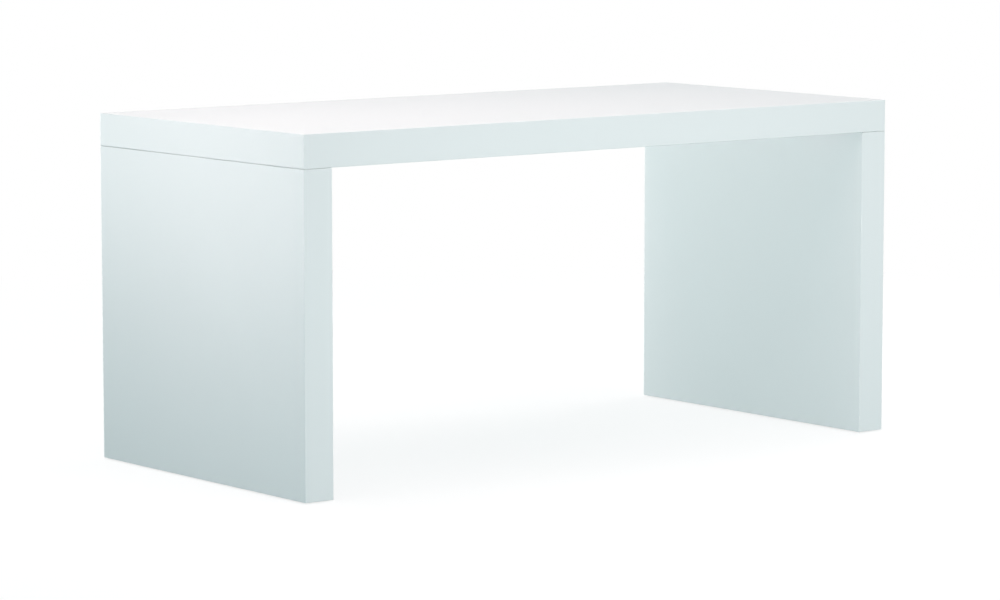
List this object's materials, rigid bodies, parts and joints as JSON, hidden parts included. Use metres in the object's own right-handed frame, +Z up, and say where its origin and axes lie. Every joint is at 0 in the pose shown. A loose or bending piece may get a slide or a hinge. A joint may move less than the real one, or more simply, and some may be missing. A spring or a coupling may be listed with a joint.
{
  "type": "slab-end dining table",
  "caption": "Dining table with a thick slab top on full-depth slab ends, flush outside, joined by hidden angle plates and standing on levelling glides that screw in and out.",
  "frame": {"origin": "on the floor, under the middle of the table", "axes": "+X along the length to the right end, -Y towards the front, +Z up"},
  "size_m": [1.6, 0.75, 0.75],
  "materials": {
    "white_lacquer": "satin",
    "bare_fibreboard": "matte",
    "softwood": "matte",
    "beech": "matte",
    "zinc_steel": "satin",
    "nylon": "matte"
  },
  "bodies": {
    "table": {"left_bottom_rail": "white_lacquer", "left_dowels": "beech", "left_fixing_batten": "softwood", "left_front_fixing_plate": "zinc_steel", "left_front_stile": "white_lacquer", "left_front_upright_rib": "bare_fibreboard", "left_glide_inserts": "zinc_steel", "left_inner_skin": "white_lacquer", "left_lower_cross_rib": "bare_fibreboard", "left_middle_fixing_plate": "zinc_steel", "left_outer_skin": "white_lacquer", "left_plate_bolts": "zinc_steel", "left_plate_screws": "zinc_steel", "left_rear_fixing_plate": "zinc_steel", "left_rear_stile": "white_lacquer", "left_rear_upright_rib": "bare_fibreboard", "left_threaded_inserts": "zinc_steel", "left_top_rail": "softwood", "left_upper_cross_rib": "bare_fibreboard", "right_bottom_rail": "white_lacquer", "right_dowels": "beech", "right_fixing_batten": "softwood", "right_front_fixing_plate": "zinc_steel", "right_front_stile": "white_lacquer", "right_front_upright_rib": "bare_fibreboard", "right_glide_inserts": "zinc_steel", "right_inner_skin": "white_lacquer", "right_lower_cross_rib": "bare_fibreboard", "right_middle_fixing_plate": "zinc_steel", "right_outer_skin": "white_lacquer", "right_plate_bolts": "zinc_steel", "right_plate_screws": "zinc_steel", "right_rear_fixing_plate": "zinc_steel", "right_rear_stile": "white_lacquer", "right_rear_upright_rib": "bare_fibreboard", "right_threaded_inserts": "zinc_steel", "right_top_rail": "softwood", "right_upper_cross_rib": "bare_fibreboard", "top_cross_rib_1": "bare_fibreboard", "top_cross_rib_2": "bare_fibreboard", "top_cross_rib_3": "bare_fibreboard", "top_cross_rib_4": "bare_fibreboard", "top_cross_rib_5": "bare_fibreboard", "top_front_long_rib": "bare_fibreboard", "top_front_rail": "white_lacquer", "top_left_end_rail": "white_lacquer", "top_rear_long_rib": "bare_fibreboard", "top_rear_rail": "white_lacquer", "top_right_end_rail": "white_lacquer", "top_skin": "white_lacquer", "underside_skin": "white_lacquer"},
    "left_front_pad": {"left_front_glide_pad": "nylon"},
    "left_front_stud": {"left_front_glide_stud": "zinc_steel"},
    "left_rear_pad": {"left_rear_glide_pad": "nylon"},
    "left_rear_stud": {"left_rear_glide_stud": "zinc_steel"},
    "right_front_pad": {"right_front_glide_pad": "nylon"},
    "right_front_stud": {"right_front_glide_stud": "zinc_steel"},
    "right_rear_pad": {"right_rear_glide_pad": "nylon"},
    "right_rear_stud": {"right_rear_glide_stud": "zinc_steel"}
  },
  "joints": [
    {"name": "left_front_glide_drop", "type": "slide", "parent": "table", "child": "left_front_pad", "axis": [0, 0, -1], "range_m": [0, 0.01]},
    {"name": "left_front_glide_turn", "type": "hinge", "parent": "left_front_pad", "child": "left_front_stud", "pos_m": [-0.765, -0.295, 0], "axis": [0, 0, -1], "range_deg": [0, 2880]},
    {"name": "left_rear_glide_drop", "type": "slide", "parent": "table", "child": "left_rear_pad", "axis": [0, 0, -1], "range_m": [0, 0.01]},
    {"name": "left_rear_glide_turn", "type": "hinge", "parent": "left_rear_pad", "child": "left_rear_stud", "pos_m": [-0.765, 0.295, 0], "axis": [0, 0, -1], "range_deg": [0, 2880]},
    {"name": "right_front_glide_drop", "type": "slide", "parent": "table", "child": "right_front_pad", "axis": [0, 0, -1], "range_m": [0, 0.01]},
    {"name": "right_front_glide_turn", "type": "hinge", "parent": "right_front_pad", "child": "right_front_stud", "pos_m": [0.765, -0.295, 0], "axis": [0, 0, -1], "range_deg": [0, 2880]},
    {"name": "right_rear_glide_drop", "type": "slide", "parent": "table", "child": "right_rear_pad", "axis": [0, 0, -1], "range_m": [0, 0.01]},
    {"name": "right_rear_glide_turn", "type": "hinge", "parent": "right_rear_pad", "child": "right_rear_stud", "pos_m": [0.765, 0.295, 0], "axis": [0, 0, -1], "range_deg": [0, 2880]}
  ],
  "couplings": [
    {"joint": "left_front_glide_drop", "follows": "left_front_glide_turn", "m_per_rad": 0.00019894},
    {"joint": "left_rear_glide_drop", "follows": "left_rear_glide_turn", "m_per_rad": 0.00019894},
    {"joint": "right_front_glide_drop", "follows": "right_front_glide_turn", "m_per_rad": 0.00019894},
    {"joint": "right_rear_glide_drop", "follows": "right_rear_glide_turn", "m_per_rad": 0.00019894}
  ]
}
